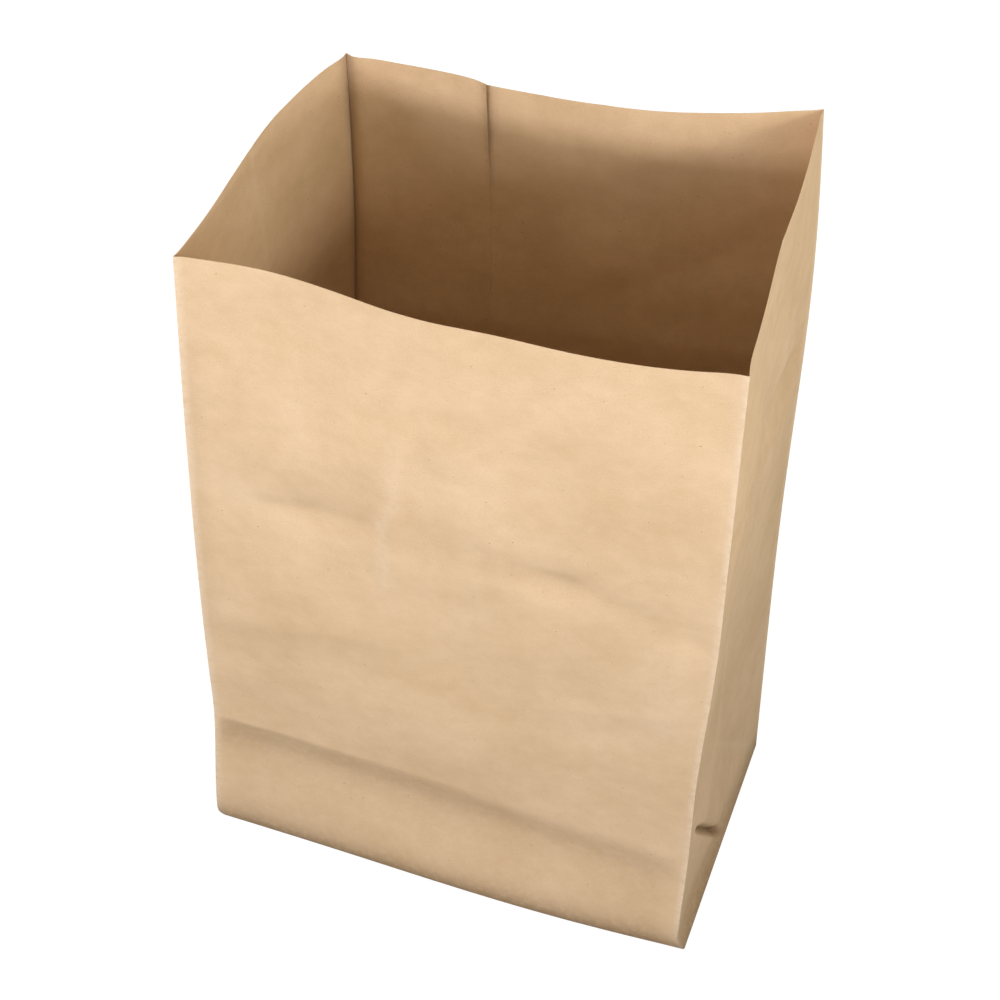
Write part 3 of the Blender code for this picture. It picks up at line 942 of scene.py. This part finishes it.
class LUNCHBAG_OT_fold_bag(bpy.types.Operator):
    """Cut, score and fold the kraft sheet into the bag"""

    bl_idname = "lunch_bag.fold_bag"
    bl_label = "Fold Bag"

    def execute(self, context):
        sheet = context.scene.bag_sheet
        shape = context.scene.bag_shape
        piece = cut_flat_sheet(sheet)
        extend_flaps(piece, sheet)
        score_folds(piece, sheet, shape)
        refine_bends(piece, sheet, shape)
        face_outwards(piece)
        bpy.ops.object.mode_set(mode="OBJECT")
        fold_sheet(piece, sheet, shape)
        thicken(piece, sheet)
        darken_inside(piece, sheet)
        bpy.ops.object.shade_smooth_by_angle(angle=math.radians(SMOOTH_ANGLE))
        piece.data.materials.append(kraft_material(context.scene.kraft_finish))
        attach(piece, "root")
        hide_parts("paper_bag")
        return {"FINISHED"}


# Materials

class NodeSheet:
    """A node tree with short calls to add and join nodes."""

    def __init__(self, tree):
        self.tree = tree
        self.column = 0

    def add(self, kind, inputs=None, **settings):
        node = self.tree.nodes.new("ShaderNode" + kind)
        node.location = (self.column * 190, 0)
        self.column += 1
        for name, value in settings.items():
            setattr(node, name, value)
        for key, value in (inputs or {}).items():
            self.put(node, key, value)
        return node

    def put(self, node, key, value):
        if isinstance(value, bpy.types.NodeSocket):
            self.tree.links.new(value, node.inputs[key])
        else:
            node.inputs[key].default_value = value

    def maths(self, operation, *values):
        return self.add("Math", dict(enumerate(values)), operation=operation).outputs[0]

    def mix(self, factor, first, second, blend="MIX"):
        node = self.add("Mix", data_type="RGBA", blend_type=blend)
        self.put(node, 0, factor)
        self.put(node, 6, first)
        self.put(node, 7, second)
        return node.outputs[2]

    def times(self, first, second):
        return self.maths("MULTIPLY", first, second)

    def remap(self, value, low, high, to_low=0.0, to_high=1.0):
        node = self.add("MapRange", {0: value, 1: low, 2: high, 3: to_low, 4: to_high},
                        interpolation_type="SMOOTHSTEP")
        return node.outputs[0]

    def noise(self, place, scale, detail, roughness=0.5, distortion=0.0):
        node = self.add("TexNoise", {
            "Vector": place, "Scale": scale, "Detail": detail, "Roughness": roughness,
            "Distortion": distortion})
        return node.outputs[0]


def rgba(values):
    return (*values, 1.0)


def new_group(name, inputs, outputs):
    """A shader node group with named sockets: its nodes, its inputs and its end."""
    tree = bpy.data.node_groups.new(name, "ShaderNodeTree")
    for side, sockets in (("INPUT", inputs), ("OUTPUT", outputs)):
        for label, kind in sockets.items():
            tree.interface.new_socket(label, in_out=side, socket_type="NodeSocket" + kind)
    entry = tree.nodes.new("NodeGroupInput")
    ending = tree.nodes.new("NodeGroupOutput")
    return NodeSheet(tree), entry.outputs, ending


def fibre_layer(nodes, place, turn, stretch, scale):
    """Fine streaks that run one way: a noise stretched along a turned axis."""
    mapping = nodes.add("Mapping", {
        "Vector": place, "Rotation": (0, 0, math.radians(turn)), "Scale": (1, stretch, 1)})
    return nodes.noise(mapping.outputs[0], scale, 2.0, 0.55)


def kraft_fibres_group():
    """Crossed dark and pale fibres over a base colour, with their height."""
    nodes, entry, ending = new_group(
        "Kraft fibres",
        {"Place": "Vector", "Color": "Color", "Dark": "Color", "Pale": "Color",
         "Amount": "Float"},
        {"Color": "Color", "Height": "Float"})
    place, amount = entry["Place"], entry["Amount"]
    first = fibre_layer(nodes, place, 12, 9, 420)
    second = fibre_layer(nodes, place, -48, 9, 380)
    third = fibre_layer(nodes, place, 71, 8, 460)
    grain = nodes.noise(place, 2600.0, 2.0)
    dark = nodes.maths("MAXIMUM", nodes.remap(first, 0.60, 0.72),
                       nodes.remap(second, 0.62, 0.74))
    pale = nodes.maths("MAXIMUM", nodes.remap(third, 0.60, 0.72),
                       nodes.remap(second, 0.38, 0.26))
    dark_share = nodes.times(dark, nodes.times(amount, 0.42))
    pale_share = nodes.times(pale, nodes.times(amount, 0.36))
    darkened = nodes.mix(dark_share, entry["Color"], entry["Dark"])
    both = nodes.mix(pale_share, darkened, entry["Pale"])
    shade = nodes.remap(grain, 0.2, 0.8, 0.95, 1.05)
    grained = nodes.add("HueSaturation", {"Color": both, "Value": shade})
    streaks = nodes.maths("ADD", first, third)
    nodes.put(ending, "Color", grained.outputs[0])
    nodes.put(ending, "Height", nodes.maths("ADD", streaks, nodes.times(grain, 0.7)))
    return nodes.tree


def paper_clouds_group():
    """Cloudy lighter and darker patches, and a few small dark specks."""
    nodes, entry, ending = new_group(
        "Paper clouds",
        {"Place": "Vector", "Color": "Color", "Speck": "Color", "Amount": "Float"},
        {"Color": "Color"})
    place, amount = entry["Place"], entry["Amount"]
    broad = nodes.noise(place, 38.0, 3.0, 0.5, 0.4)
    close = nodes.noise(place, 190.0, 3.0, 0.6)
    mask = nodes.maths("ADD", nodes.times(broad, 0.6), nodes.times(close, 0.4))
    swing = nodes.times(nodes.maths("SUBTRACT", mask, 0.5), nodes.times(amount, 0.55))
    value = nodes.maths("ADD", swing, 1.0)
    warmth = nodes.maths("SUBTRACT", 1.0, nodes.times(swing, 0.6))
    clouded = nodes.add("HueSaturation", {
        "Color": entry["Color"], "Value": value, "Saturation": warmth})
    specks = nodes.remap(nodes.noise(place, 900.0, 1.0), 0.74, 0.80)
    nodes.put(ending, "Color", nodes.mix(
        nodes.times(specks, amount), clouded.outputs[0], entry["Speck"]))
    return nodes.tree


def wear_and_painted_light_group():
    """Paper paler along its folds, partly worn and partly painted highlight, and darker with
    painted shade.
    """
    nodes, entry, ending = new_group(
        "Fold wear and painted light",
        {"Place": "Vector", "Color": "Color", "Worn and highlight": "Color", "Fold": "Float",
         "Amount": "Float", "Dark": "Color", "Painted shade": "Float", "Painted shade strength": "Float"},
        {"Color": "Color"})
    breaks = nodes.noise(entry["Place"], 480.0, 3.0, 0.6)
    broken = nodes.remap(breaks, 0.20, 0.62)
    rubbed_and_highlight = nodes.times(nodes.times(entry["Fold"], broken), entry["Amount"])
    worn_and_highlight = nodes.mix(rubbed_and_highlight, entry["Color"], entry["Worn and highlight"])
    uneven = nodes.remap(breaks, 0.20, 0.62, 0.65, 1.0)
    painted_shade = nodes.times(nodes.times(entry["Painted shade"], uneven), entry["Painted shade strength"])
    nodes.put(ending, "Color", nodes.mix(painted_shade, worn_and_highlight, entry["Dark"]))
    return nodes.tree


# Relief of the fibres in the kraft's own surface
BUMP_STRENGTH = 0.25
BUMP_HEIGHT = 0.00012
SHEEN = 0.25


def kraft_material(finish):
    """Matt kraft paper that follows the sheet's own flat places."""
    material = bpy.data.materials.new("kraft_paper")
    material.use_nodes = True
    nodes = NodeSheet(material.node_tree)
    shader = material.node_tree.nodes["Principled BSDF"]
    place = nodes.add("Attribute", attribute_name="sheet").outputs["Vector"]
    fold = nodes.add("Attribute", attribute_name="fold").outputs["Fac"]
    painted_shade = nodes.add("Attribute", attribute_name="painted_shade").outputs["Fac"]
    clouds = nodes.add("Group", {
        "Place": place, "Color": rgba(finish.paper), "Speck": rgba(finish.dark_fibre),
        "Amount": finish.mottling}, node_tree=paper_clouds_group())
    fibres = nodes.add("Group", {
        "Place": place, "Color": clouds.outputs["Color"],
        "Dark": rgba(finish.dark_fibre), "Pale": rgba(finish.pale_fibre),
        "Amount": finish.fibres}, node_tree=kraft_fibres_group())
    # Folds paler, partly worn and partly painted highlight, and painted shade in creases and
    # hollows
    wear_and_painted_light = nodes.add("Group", {
        "Place": place, "Color": fibres.outputs["Color"], "Worn and highlight": rgba(finish.worn_and_highlight),
        "Fold": fold, "Amount": finish.wear_and_painted_light, "Dark": rgba(finish.painted_shade),
        "Painted shade": painted_shade, "Painted shade strength": finish.painted_shade_strength}, node_tree=wear_and_painted_light_group())
    bump = nodes.add("Bump", {"Strength": BUMP_STRENGTH, "Distance": BUMP_HEIGHT,
                              "Height": fibres.outputs["Height"]})
    for key, value in (("Base Color", wear_and_painted_light.outputs["Color"]),
                       ("Roughness", finish.roughness), ("Specular IOR Level", SHEEN),
                       ("Normal", bump.outputs[0])):
        nodes.put(shader, key, value)
    return material


# Stage

FLOOR_SIZE = 6.0
WALL_PLACE = 2.6
WALL_HEIGHT = 2.4
WALL_CURVE = 1.0
WALL_CURVE_STEPS = 12

# Grey and glow that add up to white where the camera sees the floor
SEEN_GREY = 0.25
SEEN_GLOW = 0.86
FILL_TINT = (1.0, 1.0, 0.94)


def seen_by_camera(nodes):
    """1 for rays that show the stage to the camera, also in gloss or through glass."""
    path = nodes.add("LightPath").outputs
    seen = nodes.maths("MAXIMUM", path["Is Camera Ray"], path["Is Glossy Ray"])
    return nodes.maths("MAXIMUM", seen, path["Is Transmission Ray"])


def floor_material(studio):
    """A pale floor that shows white to the camera and keeps the shadow."""
    material = bpy.data.materials.new("studio_floor")
    material.use_nodes = True
    tree = material.node_tree
    tree.nodes.clear()
    nodes = NodeSheet(tree)
    seen = nodes.add("BsdfDiffuse", {"Color": (SEEN_GREY, SEEN_GREY, SEEN_GREY, 1)})
    glow = nodes.add("Emission", {"Color": (1, 1, 1, 1), "Strength": SEEN_GLOW})
    white = nodes.add("AddShader", {0: seen.outputs[0], 1: glow.outputs[0]})
    plain = nodes.add("BsdfDiffuse", {"Color": rgba(studio.floor)})
    both = nodes.add("MixShader", {
        0: seen_by_camera(nodes), 1: plain.outputs[0], 2: white.outputs[0]})
    output = nodes.add("OutputMaterial", {"Surface": both.outputs[0]})
    output.is_active_output = True
    return material


def make_floor(studio):
    """A floor that curves up into a wall behind the bag."""
    deselect_all()
    bpy.ops.mesh.primitive_plane_add(size=1, location=(0, 0, 0))
    floor = bpy.context.object
    floor.name = "studio_floor"
    stretch_plane((FLOOR_SIZE, FLOOR_SIZE / 2 + WALL_PLACE),
                  (0, (WALL_PLACE - FLOOR_SIZE / 2) / 2))
    select_edges(floor, lambda co: co.y > 0)
    bpy.ops.mesh.extrude_region_move(
        TRANSFORM_OT_translate={"value": (0, 0, WALL_HEIGHT)})
    select_edges(floor, lambda co: co.y > 0 and co.z < WALL_HEIGHT / 2)
    bpy.ops.mesh.bevel(offset=WALL_CURVE, segments=WALL_CURVE_STEPS, affect="EDGES")
    bpy.ops.object.mode_set(mode="OBJECT")
    bpy.ops.object.shade_smooth()
    floor.data.materials.append(floor_material(studio))


def make_world(studio):
    """White to the camera, and an even, dimmer light on the bag."""
    world = bpy.data.worlds.new("studio_world")
    world.use_nodes = True
    bpy.context.scene.world = world
    tree = world.node_tree
    tree.nodes.clear()
    nodes = NodeSheet(tree)
    dim = nodes.add("Background", {"Color": rgba(FILL_TINT), "Strength": studio.fill})
    white = nodes.add("Background", {"Color": (1, 1, 1, 1), "Strength": 1.0})
    both = nodes.add("MixShader", {
        0: seen_by_camera(nodes), 1: dim.outputs[0], 2: white.outputs[0]})
    nodes.add("OutputWorld", {"Surface": both.outputs[0]})


def aim_lamp(place, target):
    """Turn that points a lamp's light from its place to a target."""
    return (Vector(target) - Vector(place)).to_track_quat("-Z", "Y").to_euler()


# The lamps: kind, name, place, target, power, tint and size, which is the width
# and height of an area lamp, or the bulb and the cone of a spot lamp
LAMPS = (
    ("AREA", "front_lamp", (-0.06, -0.42, 0.26), (0, 0, 0.13), 0.68,
     (0.93, 0.95, 1.0), (0.22, 0.22)),
    ("AREA", "strip_lamp", (0.00, -0.45, 0.30), (0, -0.04, 0.27), 0.98,
     (0.96, 0.94, 1.0), (0.70, 0.05)),
    ("AREA", "left_lamp", (-1.30, -0.60, 0.90), (0, 0, 0.13), 4.00,
     (1.0, 0.98, 0.90), (0.80, 0.80)),
    ("AREA", "right_lamp", (0.36, -0.05, 0.27), (0.065, 0, 0.18), 0.38,
     (1.0, 0.95, 0.90), (0.15, 0.15)),
    ("AREA", "back_lamp", (0.00, 0.90, 1.30), (0, 0, 0.13), 9.00,
     (0.98, 1.0, 0.88), (0.80, 0.80)),
    ("SPOT", "spot_lamp", (0.90, -0.25, 0.60), (0.065, 0, 0.25), 9.00,
     (0.98, 1.0, 0.90), (0.10, math.radians(26))),
)


def make_lamps(studio):
    for kind, name, place, target, power, tint, size in LAMPS:
        bpy.ops.object.light_add(type=kind, location=place, rotation=aim_lamp(place, target))
        lamp = bpy.context.object
        lamp.name = name
        lamp.visible_camera = False
        lamp.data.energy = studio.lamps * power
        lamp.data.color = tint
        if kind == "AREA":
            lamp.data.shape = "ELLIPSE"
            lamp.data.size, lamp.data.size_y = size
        else:
            lamp.data.shadow_soft_size, lamp.data.spot_size = size
            lamp.data.spot_blend = 1.0


# Width of the camera's sensor, in millimetres
SENSOR_WIDTH = 36


def camera_axes(studio):
    """The camera's right, up and back directions."""
    turn = studio.azimuth
    rise = studio.elevation
    back = Vector((math.sin(turn) * math.cos(rise), -math.cos(turn) * math.cos(rise),
                   math.sin(rise)))
    level = Vector((math.cos(turn), math.sin(turn), 0))
    upright = back.cross(level)
    right = math.cos(studio.roll) * level + math.sin(studio.roll) * upright
    up = math.cos(studio.roll) * upright - math.sin(studio.roll) * level
    return right, up, back


def make_camera(studio, target):
    right, up, back = camera_axes(studio)
    place = target + back * studio.distance
    place += right * studio.aim[0] + up * studio.aim[1]
    turn = Matrix((right, up, back)).transposed().to_euler()
    bpy.ops.object.camera_add(location=place, rotation=turn)
    camera = bpy.context.object
    camera.name = "studio_camera"
    camera.data.lens = studio.focal
    camera.data.sensor_width = SENSOR_WIDTH
    bpy.context.scene.camera = camera


class LUNCHBAG_OT_build_studio(bpy.types.Operator):
    """Set up the floor, the lamps and the camera"""

    bl_idname = "lunch_bag.build_studio"
    bl_label = "Build Studio"

    def execute(self, context):
        scene = context.scene
        studio = scene.bag_studio
        scene.view_settings.view_transform = "Standard"
        make_floor(studio)
        make_world(studio)
        make_lamps(studio)
        centre = base_centre(scene.bag_sheet, scene.bag_shape)
        target = Vector((centre.x, centre.y, 0)) + Vector(studio.target)
        make_camera(studio, target)
        return {"FINISHED"}


class LUNCHBAG_PT_sidebar(bpy.types.Panel):
    """Lists the bag's operators and its sizes"""

    bl_idname = "LUNCHBAG_PT_sidebar"
    bl_label = "Lunch Bag"
    bl_space_type = "VIEW_3D"
    bl_region_type = "UI"
    bl_category = "Lunch Bag"

    def draw(self, context):
        scene = context.scene
        layout = self.layout
        for operator in (LUNCHBAG_OT_fold_bag, LUNCHBAG_OT_build_studio):
            layout.operator(operator.bl_idname)
        for name in GROUPS:
            group = getattr(scene, name)
            box = layout.box()
            for field in group.__annotations__:
                box.prop(group, field)


GROUPS = {
    "bag_sheet": BagSheet,
    "bag_shape": BagShape,
    "kraft_finish": KraftFinish,
    "bag_studio": BagStudio,
}
CLASSES = (
    *GROUPS.values(), LUNCHBAG_OT_fold_bag, LUNCHBAG_OT_build_studio,
    LUNCHBAG_PT_sidebar)


def register():
    for item in CLASSES:
        bpy.utils.register_class(item)
    for name, group in GROUPS.items():
        setattr(bpy.types.Scene, name, PointerProperty(type=group))


def unregister():
    for name in GROUPS:
        delattr(bpy.types.Scene, name)
    for item in reversed(CLASSES):
        bpy.utils.unregister_class(item)


def main():
    register()
    bpy.ops.lunch_bag.fold_bag()
    bpy.ops.lunch_bag.build_studio()


if __name__ == "__main__":
    main()
